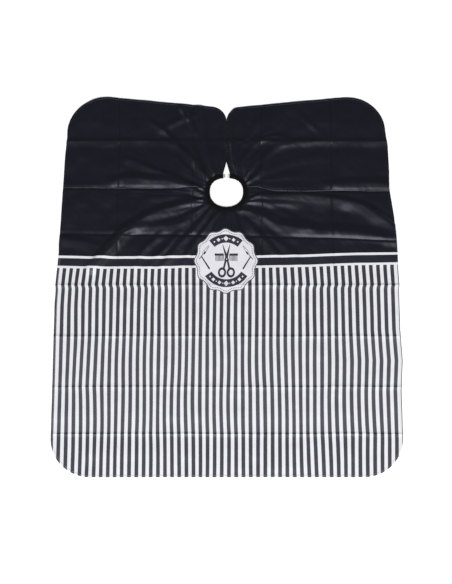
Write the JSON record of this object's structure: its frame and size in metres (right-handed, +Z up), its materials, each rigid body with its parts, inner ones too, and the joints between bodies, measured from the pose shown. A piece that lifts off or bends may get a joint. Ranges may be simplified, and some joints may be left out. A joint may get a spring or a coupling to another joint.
{
  "type": "barber cape",
  "caption": "Rectangular hairdressing cape laid flat: round neck hole with elastic band, open back slit, striped front and a round printed badge.",
  "frame": {"origin": "the surface the cape lies on, under the middle of the laid cape's box", "axes": "+X across the cape, +Y from the front hem to the slit side, +Z up out of the cloth's printed face"},
  "size_m": [1.4, 1.6, 0.0109],
  "materials": {
    "cape_fabric": "thin satin polyester: plain black-navy back, two white lines, dark and white stripes over the front, and a printed scalloped badge",
    "hem_fabric": "the same cloth folded over and lockstitched",
    "neckband_fabric": "matte black gathered stretch binding",
    "elastic": "woven elastic tape",
    "wire": "plated wire",
    "thread": "polyester sewing thread"
  },
  "bodies": {
    "root": {"cape_cloth": "cape_fabric", "hem_left": "hem_fabric", "hem_right": "hem_fabric", "hem_slit_left": "hem_fabric", "hem_slit_right": "hem_fabric", "neckband_binding": "neckband_fabric", "neck_elastic": "elastic", "hook_loop": "neckband_fabric", "ring_loop": "neckband_fabric", "bar_tack_left": "thread", "bar_tack_right": "thread"},
    "back_left_flap": {"cape_cloth_back_left": "cape_fabric", "hem_back_left": "hem_fabric"},
    "back_right_flap": {"cape_cloth_back_right": "cape_fabric", "hem_back_right": "hem_fabric"},
    "front_row": {"cape_cloth_front_row": "cape_fabric", "hem_front": "hem_fabric"},
    "hook": {"closure_hook": "wire"},
    "ring": {"closure_ring": "wire"}
  },
  "joints": [
    {"name": "back_left_fold", "type": "hinge", "parent": "root", "child": "back_left_flap", "pos_m": [-0.335, 0.605, 0.0046], "axis": [1, 0, 0], "range_deg": [0, 165]},
    {"name": "back_right_fold", "type": "hinge", "parent": "root", "child": "back_right_flap", "pos_m": [0.335, 0.605, 0.0046], "axis": [1, 0, 0], "range_deg": [0, 165]},
    {"name": "front_row_fold", "type": "hinge", "parent": "root", "child": "front_row", "pos_m": [0, -0.626, 0.0046], "axis": [-1, 0, 0], "range_deg": [0, 165]},
    {"name": "hook_turn", "type": "hinge", "parent": "root", "child": "hook", "pos_m": [-0.0112, 0.451, 0.004], "axis": [0, -1, 0], "range_deg": [0, 90]},
    {"name": "ring_turn", "type": "hinge", "parent": "root", "child": "ring", "pos_m": [0.0112, 0.451, 0.004], "axis": [0, 1, 0], "range_deg": [0, 90]}
  ]
}
